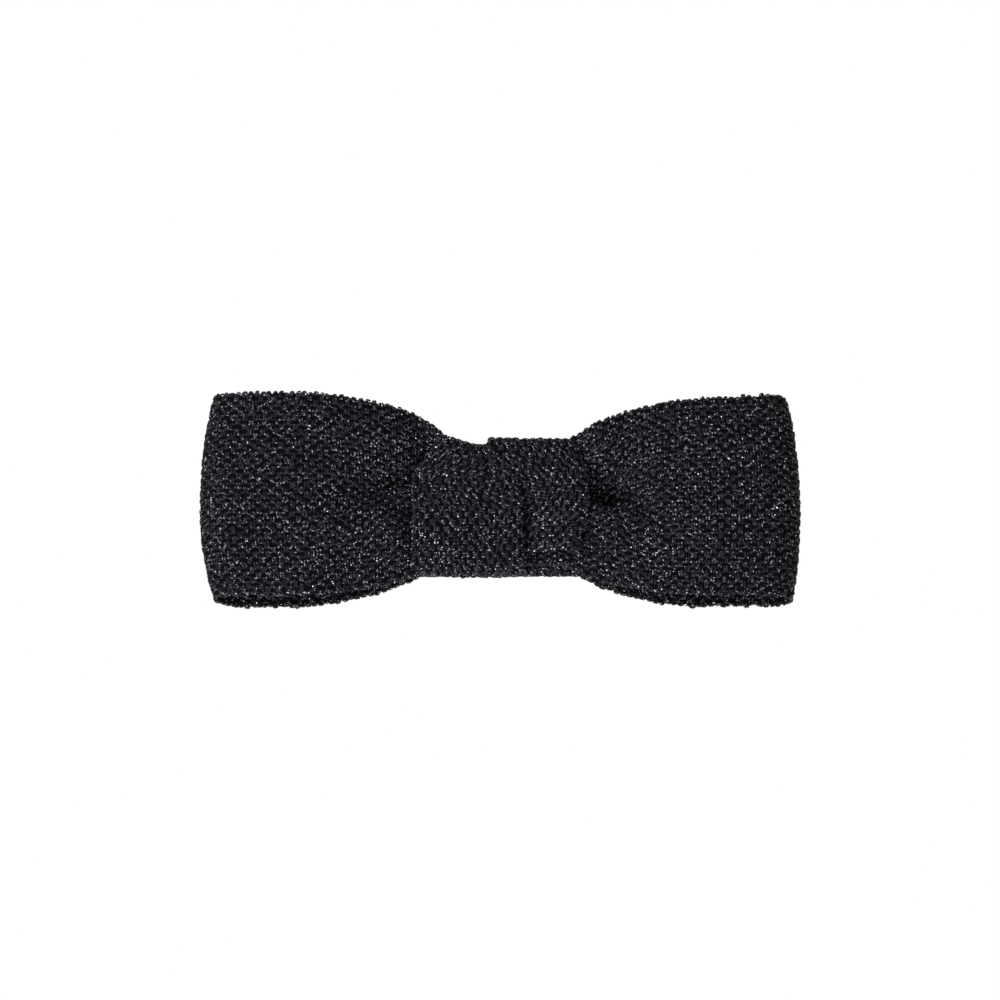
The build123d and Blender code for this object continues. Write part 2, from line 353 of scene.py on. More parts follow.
def moss_knit_yarn(name, knit):
    """Spun viscose yarn carrying a metallic filament, knitted: dull black, with a scatter of small pale
    glints where the filament comes to the surface, the brightness of each glint painted into its colour."""
    made, place = new_material(name)
    # The filament shows in dashes about half as long as the yarn is thick, each tilted its own way.
    dash = node(made, "TexVoronoi", {"Vector": place, "Scale": per_mm(0.26), "Randomness": 1.0})
    lot = node(made, "SeparateColor", {"Color": dash.outputs["Color"]})
    shows = node(made, "Math", {0: lot.outputs["Red"], 1: 1 - knit.filament_share}, operation="GREATER_THAN")
    # Only the middle of a dash is bare filament.
    middle = node(made, "Math", {0: dash.outputs["Distance"], 1: 0.5}, operation="LESS_THAN")
    filament = node(made, "Math", {0: shows.outputs[0], 1: middle.outputs[0]}, operation="MULTIPLY")
    # Painted glints: most dashes are painted faint, as if turned away from the light; a few bright, as if
    # catching it squarely.
    painted_glint = node(made, "Math", {0: lot.outputs["Green"], 1: 2.4}, operation="POWER")
    shade = node(made, "MapRange", {"Value": painted_glint.outputs[0], "To Min": 0.05, "To Max": 0.82})
    filament = node(made, "Math", {0: filament.outputs[0], 1: shade.outputs[0]}, operation="MULTIPLY")
    # Fibres shade the yarn a little along its length.
    fibres = node(made, "TexNoise", {"Vector": place, "Scale": per_mm(0.9), "Detail": 3.0})
    worn = node(made, "MapRange", {"Value": fibres.outputs["Fac"], "From Min": 0.3, "From Max": 0.7,
                                   "To Min": 0.7, "To Max": 1.35})
    yarn = node(made, "Mix", {MIX_SHARE: 1.0, MIX_FIRST: linear(knit.yarn_colour),
                              MIX_SECOND: worn.outputs[0]}, data_type="RGBA", blend_type="MULTIPLY")
    # The colour runs to the pale filament by the painted glint, which also sets how metallic and smooth the
    # dash is.
    colour = node(made, "Mix", {MIX_SHARE: filament.outputs[0], MIX_FIRST: yarn.outputs[MIX_RESULT],
                                MIX_SECOND: linear(knit.filament_colour)}, data_type="RGBA")
    rough = node(made, "MapRange", {"Value": filament.outputs[0], "To Min": 0.5, "To Max": 0.28})
    hairs = node(made, "TexNoise", {"Vector": place, "Scale": per_mm(0.2), "Detail": 2.0})
    tilt = node(made, "Bump", {"Height": hairs.outputs["Fac"], "Strength": 0.8, "Distance": 0.1 * MM})
    surface = node(made, "BsdfPrincipled", {
        "Base Color": colour.outputs[MIX_RESULT], "Roughness": rough.outputs[0],
        "Metallic": filament.outputs[0], "Normal": tilt.outputs["Normal"], "Specular IOR Level": 0.15})
    node(made, "OutputMaterial", {"Surface": surface.outputs["BSDF"]})
    return made


def painted_shade_core(name, knit):
    """The felted middle of the knit, seen only down the holes between stitches: flat and very dark, darker
    than its yarn as painted shade in those holes.
    """
    made, place = new_material(name)
    lint = node(made, "TexNoise", {"Vector": place, "Scale": per_mm(0.4), "Detail": 4.0})
    ramp = node(made, "ValToRGB", {"Fac": lint.outputs["Fac"]})
    # Painted shade: the core takes 0.15 to 0.5 of the yarn's colour, which darkens the holes between
    # stitches.
    shade(ramp, knit.yarn_colour, 0.15, 0.5)
    tilt = node(made, "Bump", {"Height": lint.outputs["Fac"], "Strength": 0.6, "Distance": 0.1 * MM})
    surface = node(made, "BsdfPrincipled", {"Base Color": ramp.outputs["Color"], "Roughness": 0.95,
                                            "Normal": tilt.outputs["Normal"], "Specular IOR Level": 0.05})
    node(made, "OutputMaterial", {"Surface": surface.outputs["BSDF"]})
    return made


def spun_polyester(name, colour):
    """Three-ply polyester sewing thread: black, a little glossier than the knit, with hair-fine fibres."""
    made, place = new_material(name)
    fibre = node(made, "TexNoise", {"Vector": place, "Scale": per_mm(0.08), "Detail": 3.0})
    ramp = node(made, "ValToRGB", {"Fac": fibre.outputs["Fac"]})
    shade(ramp, colour, 0.6, 1.6)
    tilt = node(made, "Bump", {"Height": fibre.outputs["Fac"], "Strength": 0.4, "Distance": 0.03 * MM})
    surface = node(made, "BsdfPrincipled", {"Base Color": ramp.outputs["Color"], "Roughness": 0.45,
                                            "Normal": tilt.outputs["Normal"], "Sheen Weight": 0.05,
                                            "Specular IOR Level": 0.3})
    node(made, "OutputMaterial", {"Surface": surface.outputs["BSDF"]})
    return made


def pressed_felt(name, colour):
    """Pressed wool-and-viscose felt: matt, mottled and slightly hairy, with no weave."""
    made, place = new_material(name)
    tufts = node(made, "TexNoise", {"Vector": place, "Scale": per_mm(1.3), "Detail": 6.0, "Roughness": 0.7})
    ramp = node(made, "ValToRGB", {"Fac": tufts.outputs["Fac"]})
    shade(ramp, colour, 0.6, 1.8)
    tilt = node(made, "Bump", {"Height": tufts.outputs["Fac"], "Strength": 0.8, "Distance": 0.15 * MM})
    surface = node(made, "BsdfPrincipled", {"Base Color": ramp.outputs["Color"], "Roughness": 0.95,
                                            "Normal": tilt.outputs["Normal"], "Sheen Weight": 0.15,
                                            "Sheen Roughness": 0.6, "Specular IOR Level": 0.2})
    node(made, "OutputMaterial", {"Surface": surface.outputs["BSDF"]})
    return made


WARP_END = 0.14  # from one warp end of the ribbon to the next
WAVE_RADIANS = 20  # how far a wave texture of scale 1 turns in one unit


def woven_grosgrain(name, colour):
    """Woven polyester grosgrain: a satiny black that breaks into fine lines along the ribbon."""
    made, place = new_material(name)
    # Warp ends run along the ribbon, too fine to show as they are, so the bands are 2 pi of them apart.
    scale = per_mm(WARP_END) / WAVE_RADIANS
    warp = node(made, "TexWave", {"Vector": place, "Scale": scale, "Distortion": 0.6},
                wave_type="BANDS", bands_direction="Z")
    ramp = node(made, "ValToRGB", {"Fac": warp.outputs["Fac"]})
    shade(ramp, colour, 0.6, 1.5)
    tilt = node(made, "Bump", {"Height": warp.outputs["Fac"], "Strength": 0.4, "Distance": 0.03 * MM})
    surface = node(made, "BsdfPrincipled", {"Base Color": ramp.outputs["Color"], "Roughness": 0.42,
                                            "Normal": tilt.outputs["Normal"], "Sheen Weight": 0.06,
                                            "Specular IOR Level": 0.25})
    node(made, "OutputMaterial", {"Surface": surface.outputs["BSDF"]})
    return made


def plated_metal(name, colour, roughness, grain):
    """Bright metal with a drawn or rolled grain: stretched fine lines that break up its highlights, and faint
    cloudy dulling from handling. grain is the spacing of the lines in millimetres."""
    made, place = new_material(name)
    drawn = node(made, "Mapping", {"Vector": place, "Scale": (0.06, 1.0, 1.0)})
    lines = node(made, "TexNoise", {"Vector": drawn.outputs[0], "Scale": per_mm(grain), "Detail": 4.0})
    clouds = node(made, "TexNoise", {"Vector": place, "Scale": per_mm(4.0), "Detail": 3.0})
    both = node(made, "Math", {0: lines.outputs["Fac"], 1: clouds.outputs["Fac"]}, operation="ADD")
    rough = node(made, "MapRange", {"Value": both.outputs[0], "From Min": 0.7, "From Max": 1.3,
                                    "To Min": roughness * 0.75, "To Max": roughness * 1.4})
    ramp = node(made, "ValToRGB", {"Fac": clouds.outputs["Fac"]})
    shade(ramp, colour, 0.82, 1.1)
    tilt = node(made, "Bump", {"Height": lines.outputs["Fac"], "Strength": 0.12, "Distance": 0.02 * MM})
    surface = node(made, "BsdfPrincipled", {"Base Color": ramp.outputs["Color"], "Metallic": 1.0,
                                            "Roughness": rough.outputs[0], "Normal": tilt.outputs["Normal"]})
    node(made, "OutputMaterial", {"Surface": surface.outputs["BSDF"]})
    return made


ROLLER_PATCH = 1000 / 3  # width of the patches that a roller leaves


def studio_paint(name):
    """Matt white emulsion on a studio floor, very slightly mottled by its roller."""
    made, place = new_material(name)
    roller = node(made, "TexNoise", {"Vector": place, "Scale": per_mm(ROLLER_PATCH), "Detail": 3.0})
    ramp = node(made, "ValToRGB", {"Fac": roller.outputs["Fac"]})
    ramp.color_ramp.elements[0].color = linear("#eeeeec")
    ramp.color_ramp.elements[1].color = linear("#f4f4f2")
    surface = node(made, "BsdfPrincipled", {"Base Color": ramp.outputs["Color"], "Roughness": 0.9})
    node(made, "OutputMaterial", {"Surface": surface.outputs["BSDF"]})
    return made


# ---------------------------------------------------------------- the bow's surfaces

CLOTH = 0.58  # half the knit's thickness, from its middle to the top of its bumps
LOOP_HALF_DEPTH = HALF_DEPTH - CLOTH - 0.2  # the last leaves room for the crown
WAIST_HALF_DEPTH = 1.7
FOLD_REACH = 5.6  # how far the round end of a loop reaches along the bow
END_ROUNDING = 2.5  # how far the corners of a loop's end stand back from its middle


def loop_half_depth(x):
    """Half the loop's depth at a distance x from the middle of the bow, before its end folds round."""
    taper = 0.5 * smooth(36.0, 52.0, x)
    return mixed(WAIST_HALF_DEPTH, LOOP_HALF_DEPTH, smooth(12.5, 37.0, x)) - taper


def quarter_plan():
    """The band seen from above, from the middle of its front to a loop's end: length, x and half-depth."""
    end = HALF_LENGTH - CLOTH
    start = end - FOLD_REACH
    straight = np.linspace(0, start, 400)
    turn = np.linspace(0, math.pi / 2, 120)[1:]
    x = np.concatenate([straight, start + FOLD_REACH * np.sin(turn)])
    depth = np.concatenate([loop_half_depth(straight), loop_half_depth(start) * np.cos(turn)])
    length = np.concatenate([[0], np.cumsum(np.hypot(np.diff(x), np.diff(depth)))])
    return length, x, depth


PLAN_LENGTH, PLAN_X, PLAN_DEPTH = quarter_plan()
BAND_LENGTH = 4 * PLAN_LENGTH[-1]


def settling(x, start, span, rate, power):
    """Share of the way from the waist's height to the loop's, which most of the band's edge reaches early."""
    share = np.clip((x - start) / span, 0.0, None)
    return 1 - np.exp(-rate * share ** power)


def band_edges(x, right):
    """Heights of the band's top and bottom edges at distance x along the right or left loop, from each edge's
    height at the waist to its height on the loop."""
    full = HALF_WIDTH + 0.05
    top_right = mixed(9.3, full + 0.4, settling(x, 11.5, 38.5, 2.75, 0.82))
    top_left = mixed(9.6, full + 0.5, settling(x, 8.8, 36.2, 3.7, 0.8))
    low_right = mixed(-12.6, -(full + 0.2), settling(x, 11.5, 36.0, 4.4, 1.12))
    low_left = mixed(-12.6, -(full + 0.2), settling(x, 12.0, 36.0, 4.6, 1.12))
    return np.where(right, top_right, top_left), np.where(right, low_right, low_left)


def band_surface(along, across):
    """The middle of the band's cloth. along runs round the ring from the middle of the front, first to the
    right; across is from -1 at the bottom edge to 1 at the top."""
    quarter = BAND_LENGTH / 4
    lap = np.mod(along, BAND_LENGTH)
    right = lap < 2 * quarter
    front = (lap < quarter) | (lap >= 3 * quarter)
    reach = np.select([lap < quarter, lap < 2 * quarter, lap < 3 * quarter],
                      [lap, 2 * quarter - lap, lap - 2 * quarter], 4 * quarter - lap)
    x = np.interp(reach, PLAN_LENGTH, PLAN_X)
    depth = np.interp(reach, PLAN_LENGTH, PLAN_DEPTH)
    face = np.where(front, -1.0, 1.0)
    side = np.where(right, 1.0, -1.0)
    top, low = band_edges(x, right)
    low = np.where(front, low + 0.4 * smooth(16.0, 24.0, x), low)
    z = low + (top - low) * (across + 1) / 2
    flat = depth / LOOP_HALF_DEPTH  # fades what follows to nothing round the loop's end
    # A pleat runs out from each side of the knot: deep and short on the right, long and shallow on the left.
    pleat_z = np.where(right, 3.0 - 0.45 * (x - 16.5), 3.9 - 0.30 * (x - 17.0))
    pleat_z = np.where(right, np.clip(pleat_z, -4.5, 6.0), np.clip(pleat_z, -0.5, 6.5))
    reach_out = np.where(right, 1 - smooth(16.5, 27.5, x), 1 - smooth(15.0, 42.0, x))
    under_knot = 0.25 + 0.75 * smooth(9.0, 14.5, x)
    deep = np.where(right, 6.0, 2.8) * reach_out * under_knot
    deep = np.minimum(deep, 2 * depth - 0.9)
    pinch = np.where(right, 0.5, 1.1) * reach_out
    tuck = np.where(right, 1.7, 0.5) * reach_out
    width = np.where(right, 3.8 - 1.4 * smooth(18.0, 25.0, x), 4.0)
    q = (z - pleat_z) / width
    hollow = np.where(right, np.exp(-1.2 * q ** 4), np.exp(-1.1 * q * q))
    edge_room = smooth(0.0, 4.0, top - z) * smooth(0.0, 4.0, z - low)
    inward = np.where(front, deep * hollow, 0.0)
    z = z + np.where(front, (-pinch * lips(q) - tuck * hollow) * edge_room, 0.0)
    # The back has two soft gathers beside the knot.
    gathers = np.cos((z + 2.0) * 2 * math.pi / 11.0) * 0.5 * (1 - smooth(14.0, 34.0, x))
    inward = inward + np.where(front, 0.0, gathers * edge_room + 0.3)
    # Each panel is crowned, most where the lower one is pushed out against the knot.
    crown = 0.55 * (1 - across * across) * smooth(16.0, 30.0, x) * smooth(0.2, 0.9, flat)
    lower_puff = bell(x, 20.0, 5.5) * smooth(15.0, 17.6, x) * bell(z, -7.5, 6.5)
    upper_puff = bell(x, 20.5, 6.5) * smooth(13.5, 17.0, x) * bell(z, 10.0, 5.0)
    puffs = np.where(right, 2.0, 2.5) * lower_puff + 1.7 * upper_puff
    push = np.where(front, puffs * (1 - 0.8 * hollow * (reach_out > 0)), 0.0)
    # Handling leaves the cloth a little uneven.
    waves = (0.22 * np.sin(0.21 * side * x + 0.9 + 0.17 * z) * np.cos(0.16 * z - 0.6 + 0.05 * x)
             + 0.12 * np.sin(0.43 * x - 0.31 * z + side * 1.3)) * smooth(15.0, 24.0, x) * flat
    y = face * (depth - inward + crown + push + waves)
    z = z + 0.18 * np.sin(0.19 * x + 0.6 * side + 0.11 * z) * smooth(18.0, 30.0, x)
    corner = np.where(z > 0, 0.85, np.where(right, 0.7, 1.2)) * END_ROUNDING
    x = x - corner * np.abs(across) ** 2.2 * smooth(28.0, 52.0, x)
    return np.stack([side * x, y, z], -1)


KNOT_FRONT = KNOT_HALF_DEPTH - CLOTH - 0.15
KNOT_POINTS = 720
KNOT_MIDDLE = -1.9  # height of the knot's middle
KNOT_EDGE = 16.2  # from its middle to its left or right edge at the widest


def knot_section():
    """The knot seen along the bow, once round from its top, down its front: length and unit y and z."""
    turn = np.linspace(0, 2 * math.pi, KNOT_POINTS)
    power = 2 / 4.2
    y = -squared(np.sin(turn), power)
    z = squared(np.cos(turn), power)
    half_height = (KNOT_TOP - KNOT_BOTTOM) / 2 - CLOTH
    length = np.concatenate([[0], np.cumsum(np.hypot(np.diff(y) * KNOT_FRONT, np.diff(z) * half_height))])
    return length, y, z


KNOT_ROUND, KNOT_Y, KNOT_Z = knot_section()
KNOT_LENGTH = KNOT_ROUND[-1]


def knot_surface(along, across):
    """The middle of the knot's cloth. along runs once round from its top, down the front; across is from -1
    at its left edge to 1 at its right."""
    lap = np.mod(along, KNOT_LENGTH)
    unit_y = np.interp(lap, KNOT_ROUND, KNOT_Y)
    unit_z = np.interp(lap, KNOT_ROUND, KNOT_Z)
    in_front = smooth(0.25, -0.45, unit_y)
    # Rough place first, to know how wide the knot is at this height.
    rough_z = KNOT_MIDDLE + 12.4 * unit_z
    left = -KNOT_EDGE + 5.0 * smooth(0.5, 11.5, rough_z) ** 1.2
    right = KNOT_EDGE - 2.6 * smooth(2.0, 11.5, rough_z) ** 1.5 - 1.6 * smooth(-2.0, -13.5, rough_z)
    x = left + (right - left) * (across + 1) / 2
    # The upper fold laps right over left, the lower one left over right.
    upper = (x + 1.2) / 2.1
    lower = (x - 3.1) / np.where(x > 3.1, 2.9, 2.1)
    upper_on = smooth(0.6, 7.5, rough_z) * in_front
    lower_on = smooth(4.5, -3.0, rough_z) * in_front
    lap_upper = lips(upper) * upper_on
    lap_lower = lips(lower) * lower_on
    step_upper, step_lower = stepped(upper), stepped(lower)
    falling = 12.4 - 2.5 * smooth(-11.5, -3.0, x)
    top = (falling * (1 - step_upper) + 11.45 * step_upper) - CLOTH
    top = top * in_front + (10.9 - CLOTH) * (1 - in_front)
    left_low = -14.9 + 0.5 * smooth(-9.0, -15.0, x)
    right_low = -12.3 + 0.5 * smooth(6.0, 14.0, x)
    low_front = left_low * (1 - step_lower) + right_low * step_lower
    low = low_front * in_front + -14.2 * (1 - in_front) + CLOTH
    z = KNOT_MIDDLE + np.where(unit_z > 0, top - KNOT_MIDDLE, KNOT_MIDDLE - low) * unit_z
    # Under the lower right the wrap is hollow, where it turns back beneath itself.
    under = smooth(-0.75, -0.98, unit_z) * bell(unit_y, -0.55, 0.24) * step_lower
    z = z + 3.3 * under * smooth(-4.0, 4.5, x) * smooth(15.5, 10.0, x)
    front = KNOT_FRONT - 1.3 * np.abs(across) ** 3.5 + 0.15
    y = unit_y * np.where(unit_y < 0, front, KNOT_FRONT - 0.1)
    y = y - 0.7 * np.maximum(lap_upper, 0) - 1.8 * np.minimum(lap_upper, 0)
    y = y + 2.0 * np.maximum(lap_lower, 0) + 0.6 * np.minimum(lap_lower, 0)
    y = y - 0.12 * np.sin(0.5 * x + 0.4 * z) * in_front
    x = x - 2.7 * lap_upper - np.where(lap_lower > 0, 3.3, 2.7) * lap_lower
    # The twist drags the cloth between the two folds.
    drag = 0.9 * bell(x, 1.5, 5.0) * np.sin((x - 1.5) * 0.55) * in_front
    z = z + drag * smooth(-12.0, -4.0, z) * smooth(9.5, 4.0, z)
    return np.stack([x, y, z], -1)


# ---------------------------------------------------------------- knitting

STITCH_POINTS = 8
YARN_SIDES = 5
HEAD_REACH = 0.74  # how far a stitch's head reaches into the next course, in courses
EDGE_REACH = 0.22  # share of that reach left to the selvedge loops
EDGE_DIP = 0.4  # share of that reach that they dip between stitches
LEG_PINCH = 0.07  # how far each leg stands in towards its own stitch, in stitches
LOOP_BULGE = 0.10  # how far a stitch's head is wider than its neck, in stitches
TURNOVER = 1.6  # how sharply the yarn crosses from one face of the cloth to the other
SIDEWAYS = 1.6  # times more that the yarn wanders in the cloth than out of it
EDGE_STRAY = 1.5  # times more that the first and last courses stray across it
TABLE_STEP, TABLE_CROSS_STEP = 0.2, 0.25  # from point to point of the tabulated surface
CORE_STEP = 0.8  # from point to point of the core


class Cloth:
    """A strip of moss stitch on a surface: length round the ring, width across it, in millimetres."""

    def __init__(self, knit, surface, length, width, seed):
        self.surface, self.length, self.width = surface, length, width
        self.radius, self.relief = knit.yarn_diameter / MM / 2, knit.relief / MM
        self.wander, self.core = knit.unevenness / MM, knit.core / MM
        # Whole pairs of stitches go round and whole courses across, so their sizes give a little.
        self.stitches = 2 * round(length / (knit.stitch_width / MM) / 2)
        room, edges = width - 2 * self.radius, 2 * HEAD_REACH * EDGE_REACH
        self.courses = round(room / (knit.course_height / MM) - edges) + 1
        self.course = room / (self.courses - 1 + edges)
        self.seed = seed
        self.lay_out()

    def lay_out(self):
        """Tabulates the surface so that the courses are evenly spaced across it."""
        steps, cross = int(self.length / TABLE_STEP), 2 * int(self.width / TABLE_CROSS_STEP) + 1
        along, across = np.meshgrid(np.arange(steps) * self.length / steps, np.linspace(-1, 1, cross),
                                    indexing="ij")
        first = self.surface(along, across)
        length = np.cumsum(np.linalg.norm(np.diff(first, axis=1), axis=2), axis=1)
        length = np.concatenate([np.zeros((steps, 1)), length], 1)
        even = np.stack([np.interp(across[0] / 2 + 0.5, one / one[-1], across[0]) for one in length])
        self.table = self.surface(along, even)
        ahead = np.roll(self.table, -1, 0) - np.roll(self.table, 1, 0)
        self.outward = unit(np.cross(ahead, np.gradient(self.table, axis=1)))

    def frame_at(self, along, across):
        """Place and outward direction of the surface."""
        steps, cross = self.table.shape[:2]
        u = along / self.length * steps
        v = (np.clip(across, -1, 1) + 1) / 2 * (cross - 1)
        i, j = np.floor(u).astype(int), np.minimum(np.floor(v).astype(int), cross - 2)
        du, dv = (u - i)[..., None], (v - j)[..., None]
        i, ahead = i % steps, (i + 1) % steps
        mixed = []
        for grid in (self.table, self.outward):
            low = grid[i, j] * (1 - du) + grid[ahead, j] * du
            high = grid[i, j + 1] * (1 - du) + grid[ahead, j + 1] * du
            mixed.append(low * (1 - dv) + high * dv)
        return mixed[0], unit(mixed[1])

    def yarn(self):
        """Centre line of every course: arrays (courses, points, 3) of place and outward direction."""
        count = self.stitches * STITCH_POINTS
        turn = (np.arange(count + 1) + 0.5) / STITCH_POINTS * 2 * math.pi
        width = self.length / self.stitches
        course = np.arange(self.courses)[:, None]
        sway = LOOP_BULGE * np.sin(2 * turn) - LEG_PINCH * np.sin(turn)
        along = turn / (2 * math.pi) * width + width * sway
        middle = (course - (self.courses - 1) / 2) * self.course
        # The selvedge loops are drawn in tighter than the rest.
        swing = np.tile(np.cos(turn), (self.courses, 1))
        swing[-1] = np.where(swing[-1] > 0, EDGE_REACH, EDGE_DIP) * swing[-1]
        swing[0] = np.where(swing[0] < 0, EDGE_REACH, EDGE_DIP) * swing[0]
        across = middle + HEAD_REACH * self.course * swing
        # Every other stitch turns its head to the other face, and courses alternate.
        face = np.tanh(TURNOVER * np.cos(turn / 2 + math.pi * course)) / math.tanh(TURNOVER)
        out = self.relief * face * np.cos(2 * turn)
        rng = np.random.default_rng(self.seed)
        along = along + self.drift(rng, count, self.wander * SIDEWAYS)
        strays = self.drift(rng, count, self.wander * SIDEWAYS)
        strays[[0, -1]] *= EDGE_STRAY
        across = across + strays
        out = out + self.drift(rng, count, self.wander)
        share = np.clip(across / (self.width / 2), -1.04, 1.04)
        place, normal = self.frame_at(along, share)
        return place + normal * out[..., None], normal

    def drift(self, rng, count, size):
        """Random wandering that changes about once in a stitch and closes on itself."""
        knots = rng.normal(0, size, (self.courses, self.stitches * 2))
        at = np.arange(count + 1) / count * knots.shape[1]
        low = np.floor(at).astype(int)
        share = at - low
        share = share * share * (3 - 2 * share)
        first = knots[:, low % knots.shape[1]]
        return first + (knots[:, (low + 1) % knots.shape[1]] - first) * share

    def yarn_meshes(self, name, pieces, material):
        """The courses as tubes, cut into that many lengths round the ring."""
        centre, normal = self.yarn()
        ring = centre[:, :-1]
        tangent = np.roll(ring, -1, 1) - np.roll(ring, 1, 1)
        tangent = np.concatenate([tangent, tangent[:, :1]], 1)
        rings = tube_rings(centre, normal, tangent, self.radius, YARN_SIDES)
        made = []
        step = centre.shape[1] // pieces
        for part in range(pieces):
            cut = rings[:, part * step:(part + 1) * step + 1]
            faces = tube_faces(cut.shape[0], cut.shape[1], YARN_SIDES)
            made.append(new_mesh(f"{name}_{part + 1}", cut.reshape(-1, 3), faces, material))
        return made

    def core_mesh(self, name, material):
        """The middle of the cloth as a thin closed ring."""
        round_steps, cross_steps = int(self.length / CORE_STEP), int(self.width / CORE_STEP)
        along = np.arange(round_steps) * self.length / round_steps
        edge = 1 - self.course * 0.5 / (self.width / 2)
        across = np.linspace(-edge, edge, cross_steps)
        along, across = np.meshgrid(along, across, indexing="ij")
        place, normal = self.frame_at(along, across)
        lift = normal * self.core / 2
        loop = np.concatenate([place + lift, (place - lift)[:, ::-1]], 1)
        faces = grid_faces(round_steps, loop.shape[1], closed=True)
        return new_mesh(name, loop.reshape(-1, 3), faces, material)


class HAIRBOW_OT_bow_band(bpy.types.Operator):
    """Knit the band and close it into the two loops"""

    bl_idname = "hairbow.bow_band"
    bl_label = "Bow band"

    def execute(self, context):
        knit = context.scene.hairbow_knit
        cloth = Cloth(knit, band_surface, BAND_LENGTH, 2 * HALF_WIDTH, seed=11)
        yarn = moss_knit_yarn("moss_knit_yarn_band", knit)
        core = cloth.core_mesh("band_cloth", painted_shade_core("painted_shade_core_band", knit))
        courses = cloth.yarn_meshes("band_courses", 4, yarn)
        for piece in [core, *courses]:
            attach(piece, "bow")
        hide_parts("bow_band")
        return {"FINISHED"}


class HAIRBOW_OT_knot_band(bpy.types.Operator):
    """Wrap the second strip of knit round the waist, folded twice in front"""

    bl_idname = "hairbow.knot_band"
    bl_label = "Knot band"

    def execute(self, context):
        knit = context.scene.hairbow_knit
        width = 2 * HALF_WIDTH
        cloth = Cloth(knit, knot_surface, KNOT_LENGTH, width, seed=23)
        yarn = moss_knit_yarn("moss_knit_yarn_knot", knit)
        core = cloth.core_mesh("knot_cloth", painted_shade_core("painted_shade_core_knot", knit))
        courses = cloth.yarn_meshes("knot_courses", 1, yarn)
        for piece in [core, *courses]:
            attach(piece, "bow")
        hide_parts("knot_band")
        return {"FINISHED"}


# ---------------------------------------------------------------- sewing, felt and ribbon

def box_mm(name):
    """A CAD node's low and high corners in millimetres about the middle of the bow."""
    low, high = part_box(name)
    shift = np.array([0.0, MID_Y, 0.0])
    return np.array(low) / MM - shift, np.array(high) / MM - shift


CORNER_STEPS = 10


def rounded_loop(half_y, half_z, radius):
    """Points round a rounded rectangle in y and z."""
    points = []
    for corner, (sy, sz) in enumerate(((1, 1), (-1, 1), (-1, -1), (1, -1))):
        for step in range(CORNER_STEPS + 1):
            turn = (corner + step / CORNER_STEPS) * math.pi / 2
            points.append((sy * (half_y - radius) + radius * math.cos(turn),
                           sz * (half_z - radius) + radius * math.sin(turn)))
    return points


def seated(points, faces, name, material, slot, cad_node):
    """Adds a piece that is sewn or glued to the bow, in place of that CAD node."""
    made = new_mesh(name, points, faces, material)
    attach(made, "bow")
    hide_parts(cad_node)
    return made


def spread(low, high, thickness, count):
    """Middles of that many threads set out evenly from low to high, the outer ones just inside."""
    return [low + thickness / 2 + n / max(count - 1, 1) * (high - low - thickness) for n in range(count)]


SEAM_LEAN = 0.35  # how far the ends of a whip stitch stand above and below its middle


